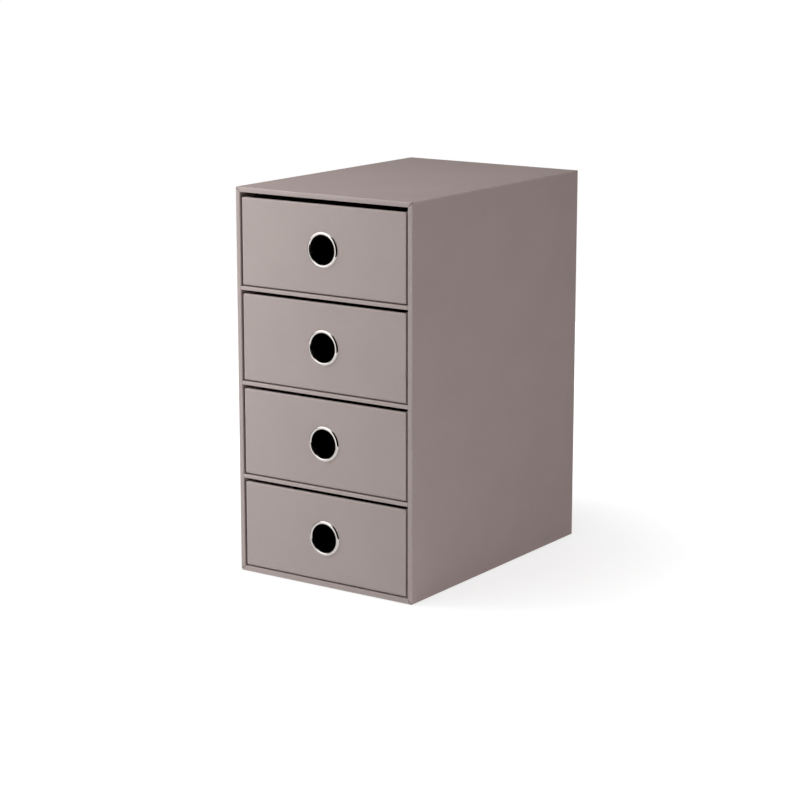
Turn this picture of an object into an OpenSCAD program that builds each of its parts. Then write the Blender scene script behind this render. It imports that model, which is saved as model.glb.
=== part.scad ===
// Desktop drawer box: four paper-covered board drawers in an open-fronted case.
// Origin at the middle of the underside, +Z up, drawers pull out along -Y.
// Drawers and shelves are numbered from the top down.

/* [Case] */
// Width of the case over its covering paper
case_w = 134; // [110:1:220]
// Depth of the case, front edge to back paper
case_d = 195; // [150:1:280]
// Height of the case, base paper to top
case_h = 250; // [220:1:320]
// Grey board in the walls of the case
case_board = 2.8; // [1.5:0.1:3.2]
// Grey board in the shelves
shelf_board = 1.9; // [1.2:0.1:3]
// Headroom that the top bay has over the other bays
top_bay_extra = 0.75; // [0:0.05:3]

/* [Paper] */
// Covering and lining paper, with its paste
paper = 0.25; // [0.15:0.05:0.35]
// Radius of a board edge with paper folded over it
fold_r = 0.5; // [0.3:0.05:1]
// Width of the cover turned over the edges of the case
case_turn_in = 16; // [8:1:25]
// Width of the drawer cover turned in over the rim
rim_turn_in = 14; // [8:1:18]
// Width of the drawer cover turned under the base
base_turn_in = 12; // [8:1:20]
// Border that the back and base papers leave bare
sheet_margin = 3; // [1:0.5:6]
// Gap between two flaps of the cover at an outer corner, where it is widest
mitre_gap = 0.8; // [0.2:0.05:1]
// Gap between the same two flaps where they meet at the inner corner
mitre_end = 0.1; // [0.05:0.05:0.15]
// Depth of the notch at a front corner of the case, where the flaps part over the crushed board
notch_depth = 1.2; // [0.3:0.1:2]

/* [Drawers] */
// Number of drawers, one above the other
drawer_count = 4; // [2:1:4]
// Grey board in the drawers
drawer_board = 2; // [1.5:0.1:2.6]
// Gap between a drawer and the case at each side
side_gap = 1.4; // [0.5:0.1:3]
// Gap between the rim of a drawer and the shelf above it
head_gap = 2.3; // [0.8:0.1:6]
// Running gap under a drawer
under_gap = 0.4; // [0.1:0.05:1]
// Gap behind a closed drawer
rear_gap = 0.4; // [0.2:0.1:3]
// Step from the front edge of the case back to a drawer face
face_recess = 0.4; // [0:0.1:3]
// Radius of the lower front edge of a drawer
heel_r = 1.5; // [1:0.1:2]

/* [Eyelet] */
// Clear diameter of the finger hole
eyelet_bore = 18.5; // [14:0.5:24]
// Sheet metal of the eyelet
eyelet_sheet = 0.35; // [0.25:0.05:0.5]
// Width of the flange on the drawer face
flange_w = 2.25; // [1.8:0.05:3.5]
// Height of the flange crest above the drawer face
flange_rise = 0.9; // [0.7:0.05:1.2]
// Outer radius of the curl that locks the barrel
curl_r = 0.8; // [0.6:0.05:1.1]
// Thickness of the washer under the curl
washer_t = 0.4; // [0.3:0.05:0.8]
// Width of the washer
washer_w = 2.5; // [2:0.1:4]
// Play of the barrel in its hole and in the washer
barrel_play = 0.1; // [0.05:0.05:0.3]

/* [Hidden] */
$fn = 52;
COVER = "#A99C97";
LINING = "#2B2828";
GREY_BOARD = "#7D786F";
NICKEL = "#D9D8D6";
STEEL = "#B5B6B8";

// Cuts run this far past the surface that they open.
over = 1;
// Paper stays over the square board corners up to about three thicknesses of radius.
edge_r = min(fold_r, 3 * paper);

// Case walls in layers: a lined wall has paper on both faces, and the base and
// the back carry the turned-over cover and a finishing sheet on the outside.
wall_t = paper + case_board + paper;
closed_t = 2 * paper + case_board + paper;
shelf_t = shelf_board + 2 * paper;
front_y = -case_d / 2;
back_y = case_d / 2;
board_x = case_w / 2 - paper;
board_front = front_y + paper;
board_back = back_y - 2 * paper;
board_bottom = 2 * paper;
board_top = case_h - paper;
sleeve_x = board_x - case_board;
sleeve_back = board_back - case_board;
sleeve_bottom = board_bottom + case_board;
sleeve_top = board_top - case_board;
cover_h = case_h - paper;

// Bays between the shelves
shelf_count = drawer_count - 1;
bay_w = case_w - 2 * wall_t;
bay_back = back_y - closed_t;
bays_bottom = closed_t;
bays_top = case_h - wall_t;
bay_h = (bays_top - bays_bottom - shelf_count * shelf_t - top_bay_extra) / drawer_count;
bay_pitch = bay_h + shelf_t;

// One drawer, with x at its middle, y = 0 on its face and z = 0 under its base
drawer_w = bay_w - 2 * side_gap;
drawer_d = bay_back - rear_gap - front_y - face_recess;
drawer_h = bay_h - under_gap - head_gap;
drawer_wall = paper + drawer_board + paper;
tray_x = drawer_w / 2 - paper;
tray_front = paper;
tray_back = drawer_d - paper;
tray_bottom = 2 * paper;
tray_top = drawer_h - paper;
room_x = tray_x - drawer_board;
room_front = tray_front + drawer_board;
room_back = tray_back - drawer_board;
room_bottom = tray_bottom + drawer_board;

// Eyelet, with its axis through the middle of the drawer face
hole_z = drawer_h / 2;
barrel_inner = eyelet_bore / 2;
barrel_outer = barrel_inner + eyelet_sheet;
barrel_length = drawer_wall + washer_t;
hole_r = barrel_outer + barrel_play;
crest_r = barrel_inner + flange_rise;
flange_slope = flange_w - flange_rise;
flange_arc = (flange_slope * flange_slope + flange_rise * flange_rise) / (2 * flange_rise);

DRAWER_PIECES = ["front_board", "back_board", "left_board", "right_board", "base_board",
                 "cover_paper", "base_paper", "lining", "eyelet", "washer"];

function shelf_z(n) = bays_bottom + (drawer_count - n) * bay_pitch - shelf_t;
function drawer_z(n) = bays_bottom + (drawer_count - n) * bay_pitch + under_gap;

// ---- Shapes that repeat ----

// Box given by its span along each axis
module block(x, y, z) {
    translate([x[0], y[0], z[0]])
        cube([x[1] - x[0], y[1] - y[0], z[1] - z[0]]);
}

// Rectangle with round corners, from the origin
module rounded_rect(w, h, r) {
    translate([r, 0]) square([w - 2 * r, h]);
    translate([0, r]) square([w, h - 2 * r]);
    for (x = [r, w - r], y = [r, h - r])
        translate([x, y]) circle(r);
}

// Box with all twelve edges rounded, given by its span along each axis
module soft_box(x, y, z, r) {
    size = [x[1] - x[0], y[1] - y[0], z[1] - z[0]];
    translate([x[0], y[0], z[0]])
        intersection() {
            linear_extrude(size.z) rounded_rect(size.x, size.y, r);
            translate([0, size.y, 0])
                rotate([90, 0, 0])
                    linear_extrude(size.y) rounded_rect(size.x, size.z, r);
            rotate([90, 0, 90])
                linear_extrude(size.x) rounded_rect(size.y, size.z, r);
        }
}

// Section through a pocket: straight walls, and a mouth at y = 0 that flares with radius r
module pocket_section(w, depth, r) {
    translate([-w / 2, -depth]) square([w, depth + over]);
    difference() {
        translate([-w / 2 - r, -r]) square([w + 2 * r, r + over]);
        for (side = [-1, 1])
            translate([side * (w / 2 + r), -r]) circle(r);
    }
}

// Pocket w by d that opens towards +Z, with its mouth at z = 0 and mitred round lips
module pocket(w, d, depth, r) {
    intersection() {
        rotate([90, 0, 0])
            linear_extrude(d + 2 * (r + over), center = true) pocket_section(w, depth, r);
        rotate([90, 0, 90])
            linear_extrude(w + 2 * (r + over), center = true) pocket_section(d, depth, r);
    }
}

// Cut between two flaps that meet at 45 degrees, up from its floor at z = 0: a wedge from
// the outer corner, at the origin, to just past the inner corner, which lies run away
// along X and along Y
module mitre_cut(run, depth) {
    length = run * sqrt(2) + mitre_end;
    rotate(45)
        linear_extrude(depth + over)
            polygon([[-over, mitre_gap / 2], [0, mitre_gap / 2], [length, mitre_end / 2],
                     [length, -mitre_end / 2], [0, -mitre_gap / 2], [-over, -mitre_gap / 2]]);
}

// That cut at the four corners of an outline w by d
module mitre_cuts(w, d, run, depth) {
    for (flip_x = [0, 1], flip_y = [0, 1])
        mirror([flip_x, 0, 0])
            mirror([0, flip_y, 0])
                translate([-w / 2, -d / 2, 0]) mitre_cut(run, depth);
}

// Cuts down the four inner corners of a mouth w by d, between the flaps that turn in there
module corner_cuts(w, d, depth) {
    for (flip_x = [0, 1], flip_y = [0, 1])
        mirror([flip_x, 0, 0])
            mirror([0, flip_y, 0])
                translate([w / 2, d / 2, -depth])
                    rotate(45)
                        translate([-over, -mitre_end / 2, 0])
                            cube([over + 2 * paper, mitre_end, depth + over]);
}

// Finishing sheet over a turned-over border: it spans the outline w by d, and its
// middle steps up by one paper, inside the border, to lie on the board.
module finishing_sheet(w, d, border) {
    translate([-w / 2, -d / 2, 0]) cube([w, d, paper]);
    translate([-w / 2 + border, -d / 2 + border, 0])
        cube([w - 2 * border, d - 2 * border, 2 * paper]);
}

// ---- Case ----

// Notches at the front corners, between the flaps of the cover and into the boards
module front_notches() {
    translate([0, front_y + notch_depth, paper + cover_h / 2])
        rotate([90, 0, 0]) mitre_cuts(case_w, cover_h, wall_t, notch_depth);
}

module case_left_board() {
    color(GREY_BOARD)
        block([-board_x, -sleeve_x], [board_front, board_back], [sleeve_bottom, sleeve_top]);
}

module case_right_board() {
    color(GREY_BOARD)
        block([sleeve_x, board_x], [board_front, board_back], [sleeve_bottom, sleeve_top]);
}

// Top and base boards before their notches
module top_panel() {
    block([-board_x, board_x], [board_front, board_back], [sleeve_top, board_top]);
}

module base_panel() {
    block([-board_x, board_x], [board_front, board_back], [board_bottom, sleeve_bottom]);
}

module case_top_board() {
    color(GREY_BOARD)
        difference() {
            top_panel();
            front_notches();
        }
}

module case_base_board() {
    color(GREY_BOARD)
        difference() {
            base_panel();
            front_notches();
        }
}

module case_back_board() {
    color(GREY_BOARD)
        block([-sleeve_x, sleeve_x], [sleeve_back, board_back], [sleeve_bottom, sleeve_top]);
}

// Room inside the sleeve of boards, from a given depth to the back board
module sleeve_room(from_y) {
    block([-sleeve_x, sleeve_x], [from_y, sleeve_back], [sleeve_bottom, sleeve_top]);
}

// Cover of the case: it wraps the four walls, turns in over the front edges, and
// turns over onto the base and the back, where the finishing sheets lie on it. Its
// flaps are mitred at the corners of the front and the back.
module case_cover_paper() {
    mouth_h = bays_top - bays_bottom;
    color(COVER)
        difference() {
            soft_box([-case_w / 2, case_w / 2], [front_y, back_y - paper], [paper, case_h], edge_r);
            case_left_board();
            case_right_board();
            top_panel();
            base_panel();
            case_back_board();
            sleeve_room(front_y + case_turn_in);
            translate([0, front_y, (bays_bottom + bays_top) / 2])
                rotate([90, 0, 0]) {
                    pocket(bay_w, mouth_h, case_turn_in + over, edge_r);
                    corner_cuts(bay_w, mouth_h, case_turn_in + over);
                }
            front_notches();
            block([-board_x + case_turn_in, board_x - case_turn_in],
                  [board_front + case_turn_in, board_back - case_turn_in],
                  [paper - over, board_bottom]);
            block([-board_x + case_turn_in, board_x - case_turn_in],
                  [board_back, board_back + over],
                  [board_bottom + case_turn_in, board_top - case_turn_in]);
            translate([0, board_back, paper + cover_h / 2])
                rotate([-90, 0, 0])
                    mitre_cuts(case_w, cover_h, paper + case_turn_in, paper);
        }
}

module case_base_paper() {
    color(COVER)
        translate([0, (board_front + board_back) / 2, 0])
            finishing_sheet(2 * (board_x - sheet_margin), board_back - board_front - 2 * sheet_margin,
                            case_turn_in - sheet_margin);
}

module case_back_paper() {
    color(COVER)
        translate([0, back_y, (board_bottom + board_top) / 2])
            rotate([90, 0, 0])
                finishing_sheet(2 * (board_x - sheet_margin), board_top - board_bottom - 2 * sheet_margin,
                                case_turn_in - sheet_margin);
}

module case_lining() {
    color(LINING)
        difference() {
            sleeve_room(front_y + case_turn_in);
            block([-bay_w / 2, bay_w / 2], [front_y, bay_back], [bays_bottom, bays_top]);
        }
}

// ---- Shelves ----

module shelf_board() {
    color(GREY_BOARD)
        block([-bay_w / 2, bay_w / 2], [board_front, bay_back], [paper, shelf_t - paper]);
}

// Cover of a shelf: over the top, round the front edge and back along the underside
module shelf_paper() {
    nose_r = min(edge_r, shelf_t / 2);
    color(COVER)
        difference() {
            translate([-bay_w / 2, front_y, 0])
                rotate([90, 0, 90])
                    linear_extrude(bay_w)
                        intersection() {
                            rounded_rect(case_d, shelf_t, nose_r);
                            square([bay_back - front_y, shelf_t]);
                        }
            shelf_board();
        }
}

// ---- Drawer ----

// Round hole through the front wall of a drawer
module finger_hole() {
    translate([0, drawer_wall + over, hole_z])
        rotate([90, 0, 0])
            cylinder(h = drawer_wall + 2 * over, r = hole_r);
}

// What the rounded lower front edge leaves off the square edge, an inset inside the cover
module heel_cut(inset) {
    translate([-drawer_w / 2 - over, 0, paper])
        rotate([90, 0, 90])
            linear_extrude(drawer_w + 2 * over)
                difference() {
                    translate([-over, -over]) square(heel_r + over);
                    translate([heel_r, heel_r]) circle(heel_r - inset);
                }
}

// Front board before its hole
module front_panel() {
    difference() {
        block([-tray_x, tray_x], [tray_front, room_front], [tray_bottom, tray_top]);
        heel_cut(paper);
    }
}

module front_board() {
    color(GREY_BOARD)
        difference() {
            front_panel();
            finger_hole();
        }
}

module back_board() {
    color(GREY_BOARD)
        block([-tray_x, tray_x], [room_back, tray_back], [tray_bottom, tray_top]);
}

module left_board() {
    color(GREY_BOARD)
        block([-tray_x, -room_x], [room_front, room_back], [tray_bottom, tray_top]);
}

module right_board() {
    color(GREY_BOARD)
        block([room_x, tray_x], [room_front, room_back], [tray_bottom, tray_top]);
}

module base_board() {
    color(GREY_BOARD)
        block([-room_x, room_x], [room_front, room_back], [tray_bottom, room_bottom]);
}

// Room inside the boards of a drawer, up to a given height
module tray_room(to_z) {
    block([-room_x, room_x], [room_front, room_back], [room_bottom, to_z]);
}

// Room left inside the papers of a drawer
module drawer_room(r) {
    translate([0, drawer_d / 2, drawer_h])
        pocket(drawer_w - 2 * drawer_wall, drawer_d - 2 * drawer_wall,
               drawer_h - room_bottom - paper, r);
}

// Cover of a drawer: round the four walls, in over the rim and under the base, with
// its flaps mitred at the corners
module cover_paper() {
    color(COVER)
        difference() {
            soft_box([-drawer_w / 2, drawer_w / 2], [0, drawer_d], [paper, drawer_h], edge_r);
            front_panel();
            back_board();
            left_board();
            right_board();
            base_board();
            tray_room(drawer_h - rim_turn_in);
            drawer_room(edge_r);
            translate([0, drawer_d / 2, tray_top])
                mitre_cuts(drawer_w, drawer_d, drawer_wall, paper);
            translate([0, drawer_d / 2, drawer_h])
                corner_cuts(drawer_w - 2 * drawer_wall, drawer_d - 2 * drawer_wall, rim_turn_in + over);
            block([-tray_x + base_turn_in, tray_x - base_turn_in],
                  [tray_front + base_turn_in, tray_back - base_turn_in],
                  [paper - over, tray_bottom]);
            translate([0, drawer_d / 2, tray_bottom])
                rotate([180, 0, 0])
                    mitre_cuts(drawer_w, drawer_d, paper + base_turn_in, paper);
            heel_cut(0);
            finger_hole();
        }
}

module base_paper() {
    color(COVER)
        translate([0, drawer_d / 2, 0])
            finishing_sheet(2 * (tray_x - sheet_margin), tray_back - tray_front - 2 * sheet_margin,
                            base_turn_in - sheet_margin);
}

module lining() {
    color(LINING)
        difference() {
            tray_room(drawer_h - rim_turn_in);
            drawer_room(edge_r);
            finger_hole();
        }
}

// Half section of the flange, drawn in by an inset: a quarter round off the barrel
// up to the crest, then a wider arc down to the drawer face
module flange_section(inset) {
    intersection() {
        translate([crest_r, 0]) circle(flange_rise - inset);
        translate([barrel_inner, 0]) square(flange_rise);
    }
    intersection() {
        translate([crest_r, flange_rise - flange_arc]) circle(flange_arc - inset);
        translate([crest_r, 0]) square([flange_w, flange_rise]);
    }
}

// Eyelet of sheet metal: domed flange, barrel through the wall, and the curl that
// is rolled over the washer inside the drawer
module eyelet() {
    color(NICKEL)
        translate([0, 0, hole_z])
            rotate([90, 0, 0])
                rotate_extrude() {
                    difference() {
                        flange_section(0);
                        flange_section(eyelet_sheet);
                    }
                    translate([barrel_inner, -barrel_length]) square([eyelet_sheet, barrel_length]);
                    translate([barrel_inner + curl_r, -barrel_length])
                        intersection() {
                            difference() {
                                circle(curl_r);
                                circle(curl_r - eyelet_sheet);
                            }
                            translate([-curl_r, -curl_r]) square([2 * curl_r, curl_r]);
                        }
                }
}

module washer() {
    bevel_r = washer_t / 3;
    color(STEEL)
        translate([0, drawer_wall + washer_t, hole_z])
            rotate([90, 0, 0])
                rotate_extrude()
                    translate([hole_r, 0]) rounded_rect(washer_w, washer_t, bevel_r);
}

module in_drawer(n) {
    translate([0, front_y + face_recess, drawer_z(n)]) children();
}

// ---- Nodes ----

case_left_board();
case_right_board();
case_top_board();
case_base_board();
case_back_board();
case_cover_paper();
case_base_paper();
case_back_paper();
case_lining();

for (n = [1 : shelf_count]) {
    translate([0, 0, shelf_z(n)]) shelf_board();
    translate([0, 0, shelf_z(n)]) shelf_paper();
}

for (n = [1 : drawer_count]) {
    in_drawer(n) front_board();
    in_drawer(n) back_board();
    in_drawer(n) left_board();
    in_drawer(n) right_board();
    in_drawer(n) base_board();
    in_drawer(n) cover_paper();
    in_drawer(n) base_paper();
    in_drawer(n) lining();
    in_drawer(n) eyelet();
    in_drawer(n) washer();
}
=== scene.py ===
import math

import bpy
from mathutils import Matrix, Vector


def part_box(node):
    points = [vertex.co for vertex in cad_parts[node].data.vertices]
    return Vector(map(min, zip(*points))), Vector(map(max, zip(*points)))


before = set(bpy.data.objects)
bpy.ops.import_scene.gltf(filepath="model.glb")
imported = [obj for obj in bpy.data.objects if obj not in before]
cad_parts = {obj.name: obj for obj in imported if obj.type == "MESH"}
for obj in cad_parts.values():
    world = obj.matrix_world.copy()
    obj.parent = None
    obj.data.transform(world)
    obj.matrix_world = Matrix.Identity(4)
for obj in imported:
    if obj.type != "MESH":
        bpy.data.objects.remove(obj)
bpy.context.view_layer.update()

# Finishes, studio and camera for the desktop mini drawers. Every solid comes from the
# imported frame, and this script dresses it. Lengths are in metres, but the finishes are
# laid out in millimetres. Colours are linear.

MM = 0.001

# ---- Colours ----

COVER = (0.372, 0.310, 0.298)
LINING = (0.016, 0.014, 0.0135)
BOARD = (0.205, 0.188, 0.159)
NICKEL = (0.79, 0.745, 0.715)
STEEL = (0.46, 0.47, 0.48)
WHITE = (1, 1, 1)


# ---- Node trees ----

class Graph:
    """A node tree, with short calls that add a node and return an output."""

    def __init__(self, owner):
        owner.use_nodes = True
        self.tree = owner.node_tree
        self.tree.nodes.clear()

    def put(self, socket, value):
        """Links an output to a socket, or sets the socket to a constant."""
        if isinstance(value, bpy.types.NodeSocket):
            self.tree.links.new(value, socket)
        elif hasattr(value, "__len__") and len(value) == 3 and len(socket.default_value) == 4:
            socket.default_value = (*value, 1)
        else:
            socket.default_value = value

    def add(self, kind, inputs=None, **settings):
        """Adds a node and returns it, for the calls below and for kinds they don't cover."""
        node = self.tree.nodes.new("ShaderNode" + kind)
        for key, value in settings.items():
            setattr(node, key, value)
        for key, value in (inputs or {}).items():
            self.put(node.inputs[key], value)
        return node

    def math(self, operation, a, b=0.0, c=0.0):
        return self.add("Math", {0: a, 1: b, 2: c}, operation=operation).outputs[0]

    def vector(self, operation, a, b=(0.0, 0.0, 0.0)):
        """A vector operation. DOT_PRODUCT and LENGTH return their number."""
        node = self.add("VectorMath", {0: a, 1: b}, operation=operation)
        return node.outputs["Value" if operation in ("DOT_PRODUCT", "LENGTH") else "Vector"]

    def scaled(self, vector, factor):
        node = self.add("VectorMath", {0: vector, "Scale": factor}, operation="SCALE")
        return node.outputs["Vector"]

    def noise(self, place, scale, detail, roughness=0.5):
        inputs = {"Vector": place, "Scale": scale, "Detail": detail, "Roughness": roughness}
        return self.add("TexNoise", inputs).outputs["Fac"]

    def ramp(self, value, start, end, low, high):
        """Runs smoothly from low to high while the value goes from start to end."""
        inputs = {
            "Value": value, "From Min": start, "From Max": end, "To Min": low, "To Max": high,
        }
        return self.add("MapRange", inputs, interpolation_type="SMOOTHSTEP").outputs["Result"]

    def varied(self, noise, span, amount):
        """A factor that goes from 1 less the amount to 1 plus the amount, while the noise
        goes from one end of its span to the other."""
        return self.ramp(noise, *span, 1 - amount, 1 + amount)

    def bump(self, height, depth, strength=1.0, normal=None):
        """Relief of a depth in millimetres, on top of another normal where one is given."""
        inputs = {"Height": height, "Distance": depth * MM, "Strength": strength}
        if normal is not None:
            inputs["Normal"] = normal
        return self.add("Bump", inputs).outputs["Normal"]

    def millimetres(self):
        """The object's own coordinates, in millimetres."""
        return self.scaled(self.add("TexCoord").outputs["Object"], 1 / MM)

    def seen(self):
        """1 for what the camera sees, itself or in metal or glass, and 0 for what only
        lights."""
        ray = self.add("LightPath").outputs
        shown = self.math("MAXIMUM", ray["Is Camera Ray"], ray["Is Glossy Ray"])
        return self.math("MAXIMUM", shown, ray["Is Transmission Ray"])

    def edge_distance(self, place, box):
        """From a point on the surface of a box, the distance to the box's nearest edge, in
        millimetres."""
        axes = self.add("SeparateXYZ", {0: place}).outputs
        gaps = []
        for axis, low, high in zip(axes, *box):
            to_low = self.math("SUBTRACT", axis, low / MM)
            to_high = self.math("SUBTRACT", high / MM, axis)
            gaps.append(self.math("MINIMUM", to_low, to_high))
        pairs = [(gaps[0], gaps[1]), (gaps[1], gaps[2]), (gaps[2], gaps[0])]
        further = [self.math("MAXIMUM", *pair) for pair in pairs]
        return self.math("MINIMUM", self.math("MINIMUM", further[0], further[1]), further[2])

    def surface(self, inputs):
        shader = self.add("BsdfPrincipled", inputs)
        self.add("OutputMaterial", {"Surface": shader.outputs[0]})


def new_material(name):
    material = bpy.data.materials.new(name)
    return material, Graph(material)


# ---- Finishes ----

# Directions that the fibres of the paper lie along, seen from any side as three slants,
# and how many times longer than wide a fibre is
FIBRE_DIRECTIONS = ((0.80, 0.50, 0.33), (-0.40, 0.75, 0.53), (0.35, -0.55, 0.76))
FIBRE_STRETCH = 9.0

# How fine each noise is, in features per millimetre
FIBRES_PER_MM = 3.2
CLOUDS_PER_MM = 0.03
GRIT_PER_MM = 4.0
PULP_PER_MM = 0.9
RINGS_PER_MM = 7.0
SMEARS_PER_MM = 0.8
RIPPLES_PER_MM = 0.35

# The values that a noise mostly keeps between, and the closer ones of the fibres
NOISE_SPAN = (0.3, 0.7)
FIBRE_SPAN = (0.4, 0.6)

# Below, a tone is the share by which a noise lightens and darkens the colour, and a depth
# is that of the relief in millimetres

CLOUD_TONE = 0.015
CLOUD_DEPTH = 0.5
CLOUD_STRENGTH = 0.35
GRIT_SHARE = 0.5
PAPER_ROUGHNESS_SPREAD = 0.05
PAPER_SPECULAR = 0.06
# A fold is painted paler, partly as real rubbing and partly as a painted highlight of the
# light
# that a rounded edge catches: in full up to the first distance from its edge and not at all
# past the second, and less where the grit lies low
FOLD_RUB_AND_HIGHLIGHT = (0.2, 1.6)
RUB_AND_HIGHLIGHT_GRIT = (0.3, 0.6)
LEAST_RUB_AND_HIGHLIGHT = 0.4

PULP_TONE = 0.2
BOARD_FIBRE_TONE = 0.15
BOARD_DEPTH = 0.06
BOARD_ROUGHNESS = 0.9
BOARD_SPECULAR = 0.2

SMEAR_TONE = 0.03
# Factors on the metal's roughness, from its clean places to its smeared ones
SMEAR_ROUGHNESS = (0.75, 1.3)
RIPPLE_DEPTH = 0.06
RIPPLE_STRENGTH = 0.5


def fibres(graph, place):
    """Short streaks that cross each other, around 0.5."""
    streaks = []
    for direction in FIBRE_DIRECTIONS:
        along = graph.vector("DOT_PRODUCT", place, direction)
        squeeze = graph.math("MULTIPLY", along, 1 - 1 / FIBRE_STRETCH)
        squeezed = graph.vector("SUBTRACT", place, graph.scaled(direction, squeeze))
        streaks.append(graph.noise(squeezed, FIBRES_PER_MM, detail=1))
    total = graph.math("ADD", graph.math("ADD", streaks[0], streaks[1]), streaks[2])
    return graph.math("DIVIDE", total, len(streaks))


def paper(node, colour, roughness, fleck, tooth, fold_rub_and_highlight):
    """Matt uncoated paper: cloudy mottling, crossed fibres, a fine tooth, and folds that
    are a little paler along the edges of the box that it covers, partly from rubbing and
    partly as a painted highlight of the light that the rounded edges catch."""
    material, graph = new_material(f"{node}_finish")
    place = graph.millimetres()
    cloud = graph.noise(place, CLOUDS_PER_MM, detail=3)
    strands = fibres(graph, place)
    grit = graph.noise(place, GRIT_PER_MM, detail=3, roughness=0.6)

    tone = graph.varied(cloud, NOISE_SPAN, CLOUD_TONE)
    flecks = graph.varied(strands, FIBRE_SPAN, fleck)
    tone = graph.math("MULTIPLY", tone, flecks)
    # Paler band along the folds: partly rubbing, partly a painted highlight of the lit
    # rounded edges
    rub_and_highlight = graph.ramp(graph.edge_distance(place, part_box(node)), *FOLD_RUB_AND_HIGHLIGHT, fold_rub_and_highlight, 0)
    rub_and_highlight = graph.math("MULTIPLY", rub_and_highlight, graph.ramp(grit, *RUB_AND_HIGHLIGHT_GRIT, LEAST_RUB_AND_HIGHLIGHT, 1))
    tone = graph.math("MULTIPLY", tone, graph.math("ADD", rub_and_highlight, 1))

    wave = graph.bump(cloud, CLOUD_DEPTH, CLOUD_STRENGTH)
    relief = graph.math("ADD", strands, graph.math("MULTIPLY", grit, GRIT_SHARE))
    smooth, coarse = roughness - PAPER_ROUGHNESS_SPREAD, roughness + PAPER_ROUGHNESS_SPREAD
    graph.surface({
        "Base Color": graph.scaled(colour, tone),
        "Roughness": graph.ramp(strands, *FIBRE_SPAN, smooth, coarse),
        "Specular IOR Level": PAPER_SPECULAR,
        "Normal": graph.bump(relief, tooth, normal=wave),
    })
    return material


# The cover's folds are painted paler, partly as rubbing and partly as a painted highlight
def cover_paper(node):
    return paper(node, COVER, roughness=0.72, fleck=0.035, tooth=0.025, fold_rub_and_highlight=0.14)


def lining_paper(node):
    return paper(node, LINING, roughness=0.8, fleck=0.12, tooth=0.03, fold_rub_and_highlight=0.0)


def grey_board(node):
    """Raw recycled board: long layered streaks with pale and dark flecks."""
    material, graph = new_material(f"{node}_finish")
    place = graph.millimetres()
    strands = fibres(graph, place)
    pulp = graph.noise(place, PULP_PER_MM, detail=4, roughness=0.7)
    flecks = graph.varied(pulp, NOISE_SPAN, PULP_TONE)
    streaks = graph.varied(strands, FIBRE_SPAN, BOARD_FIBRE_TONE)
    graph.surface({
        "Base Color": graph.scaled(BOARD, graph.math("MULTIPLY", flecks, streaks)),
        "Roughness": BOARD_ROUGHNESS,
        "Specular IOR Level": BOARD_SPECULAR,
        "Normal": graph.bump(strands, BOARD_DEPTH),
    })
    return material


def centre_of(node):
    """The middle of a piece's box, in millimetres."""
    low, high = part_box(node)
    return [(a + b) / 2 / MM for a, b in zip(low, high)]


def turned_metal(node, colour, roughness, groove):
    """Plated metal pressed round the Y axis: fine rings in its sheen and a slight ripple."""
    material, graph = new_material(f"{node}_finish")
    offset = graph.vector("SUBTRACT", graph.millimetres(), centre_of(node))
    radius = graph.vector("LENGTH", graph.vector("MULTIPLY", offset, (1, 0, 1)))
    outward = graph.scaled((1, 0, 0), radius)
    rings = graph.noise(outward, RINGS_PER_MM, detail=3, roughness=0.6)
    smear = graph.noise(offset, SMEARS_PER_MM, detail=3)
    ripple = graph.noise(offset, RIPPLES_PER_MM, detail=1)

    wave = graph.bump(ripple, RIPPLE_DEPTH, RIPPLE_STRENGTH)
    smooth, coarse = (roughness * factor for factor in SMEAR_ROUGHNESS)
    graph.surface({
        "Base Color": graph.scaled(colour, graph.varied(smear, NOISE_SPAN, SMEAR_TONE)),
        "Metallic": 1.0,
        "Roughness": graph.ramp(smear, *NOISE_SPAN, smooth, coarse),
        "Normal": graph.bump(rings, groove, normal=wave),
    })
    return material


def polished_nickel(node):
    return turned_metal(node, NICKEL, roughness=0.06, groove=0.001)


def satin_steel(node):
    return turned_metal(node, STEEL, roughness=0.3, groove=0.01)


# The finish of a piece, by the last word of its name
FINISHES = {
    "board": grey_board,
    "paper": cover_paper,
    "lining": lining_paper,
    "eyelet": polished_nickel,
    "washer": satin_steel,
}

for node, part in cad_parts.items():
    kind = node.rsplit("_", 1)[1]
    part.data.materials.clear()
    part.data.materials.append(FINISHES[kind](node))

# ---- Studio ----

# Share of the white world that lights the object
AMBIENT = 0.03

FLOOR_SIZE = 60.0
FLOOR_Z = -0.0002
# The floor's white for the light that it throws back, and its darker one where it shows
FLOOR_LIGHTING = (0.9, 0.9, 0.9)
FLOOR_SHOWN = (0.3, 0.3, 0.3)
# Where the floor shows, it also glows, less near the object: two distances from the
# object's middle, and the glow at each
GLOW_RADII = (0.09, 0.28)
GLOW_LEVELS = (0.76, 1.0)

# Softboxes: place, aim, size, power in watts and tint
SOFTBOXES = {
    "key": ((-0.42, -0.30, 0.38), (0, 0, 0.12), 0.30, 2.08, (0.955, 0.992, 1)),
    "far_key": ((-0.70, -0.50, 0.45), (0, 0, 0.12), 0.45, 2.20, (0.974, 1, 0.998)),
    "front": ((-0.20, -0.60, 0.45), (0, 0, 0.12), 0.30, 1.32, (0.959, 1, 0.993)),
    "top": ((0.10, -0.12, 0.80), (0, 0, 0.25), 0.25, 1.52, (1, 0.918, 0.914)),
    "fill": ((0.85, -0.15, 0.10), (0.05, 0, 0.12), 0.30, 2.99, (1, 0.955, 0.955)),
    "back": ((-0.25, 0.80, 0.15), (0, 0, 0.12), 0.50, 2.80, (1, 0.98, 0.975)),
}
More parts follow.
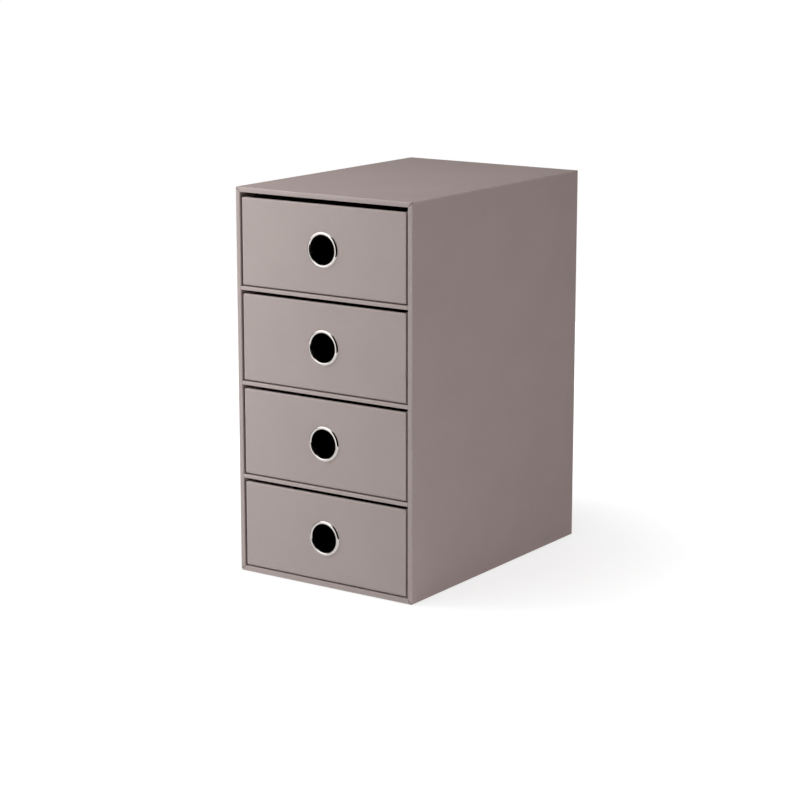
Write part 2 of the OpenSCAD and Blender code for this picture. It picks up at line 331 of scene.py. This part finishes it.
# Cards for the metal alone to mirror, three upright and two low: middle, azimuth in
# degrees, size and glow
CARDS = {
    "card_right": ((0.27, -0.30, 0.475), 58.0, (0.76, 0.002, 0.95), 0.0),
    "card_left": ((-0.35, 0.05, 0.135), 90.0, (0.90, 0.002, 0.27), 0.32),
    "card_front": ((-0.40, -0.60, 0.70), 138.0, (0.90, 0.002, 0.80), 1.5),
    "card_low_front": ((0.0, -0.25, 0.0005), 0.0, (0.72, 0.45, 0.001), 0.74),
    "card_low_left": ((-0.235, 0.05, 0.0015), 0.0, (0.25, 0.50, 0.001), 0.40),
}


def make_world():
    world = bpy.data.worlds.new("studio")
    bpy.context.scene.world = world
    graph = Graph(world)
    strength = graph.math("MULTIPLY_ADD", graph.seen(), 1 - AMBIENT, AMBIENT)
    background = graph.add("Background", {"Color": WHITE, "Strength": strength})
    graph.add("OutputWorld", {"Surface": background.outputs[0]})


def make_floor():
    bpy.ops.mesh.primitive_plane_add(size=FLOOR_SIZE, location=(0, 0, FLOOR_Z))
    floor = bpy.context.object
    floor.name = "floor"
    material, graph = new_material("floor_white")
    distance = graph.vector("LENGTH", graph.add("TexCoord").outputs["Object"])
    level = graph.ramp(distance, *GLOW_RADII, *GLOW_LEVELS)
    lighting = graph.add("BsdfDiffuse", {"Color": FLOOR_LIGHTING}).outputs[0]
    shaded = graph.add("BsdfDiffuse", {"Color": FLOOR_SHOWN}).outputs[0]
    glow = graph.add("Emission", {"Color": WHITE, "Strength": level}).outputs[0]
    shown = graph.add("AddShader", {0: shaded, 1: glow}).outputs[0]
    mixed = graph.add("MixShader", {0: graph.seen(), 1: lighting, 2: shown})
    graph.add("OutputMaterial", {"Surface": mixed.outputs[0]})
    floor.data.materials.append(material)


def make_card(name, middle, azimuth, size, glow):
    """Flat card that shows in reflections only."""
    bpy.ops.mesh.primitive_cube_add(size=1, location=middle)
    card = bpy.context.object
    card.name = name
    card.scale = size
    card.rotation_euler = (0, 0, math.radians(azimuth))
    card.visible_camera = False
    card.visible_diffuse = False
    card.visible_shadow = False
    material, graph = new_material(f"{name}_face")
    shine = graph.add("Emission", {"Color": WHITE, "Strength": glow})
    graph.add("OutputMaterial", {"Surface": shine.outputs[0]})
    card.data.materials.append(material)


def make_softbox(name, place, aim, size, power, tint):
    """Square area light at a place, turned to face the aim and left out of reflections."""
    data = bpy.data.lights.new(name, "AREA")
    data.size = size
    data.energy = power
    data.color = tint
    light = bpy.data.objects.new(name, data)
    light.location = place
    light.rotation_euler = (Vector(aim) - Vector(place)).to_track_quat("-Z", "Y").to_euler()
    light.visible_camera = False
    light.visible_glossy = False
    bpy.context.scene.collection.objects.link(light)


make_world()
make_floor()
for card_name, card_setup in CARDS.items():
    make_card(card_name, *card_setup)
for light_name, light_setup in SOFTBOXES.items():
    make_softbox(light_name, *light_setup)

# ---- Camera ----

# Angles in degrees, lens and sensor width in millimetres
CAMERA_PLACE = (0.8277, -1.2130, 0.4313)
CAMERA_AZIMUTH = 34.6
CAMERA_ELEVATION = 12.58
CAMERA_LENS = 102.94
SENSOR = 36.0


def make_camera():
    data = bpy.data.cameras.new("camera")
    data.lens = CAMERA_LENS
    data.sensor_width = SENSOR
    camera = bpy.data.objects.new("camera", data)
    camera.location = CAMERA_PLACE
    tilt = math.radians(90 - CAMERA_ELEVATION)
    camera.rotation_euler = (tilt, 0, math.radians(CAMERA_AZIMUTH))
    bpy.context.scene.collection.objects.link(camera)
    bpy.context.scene.camera = camera


make_camera()
bpy.context.scene.view_settings.view_transform = "Standard"
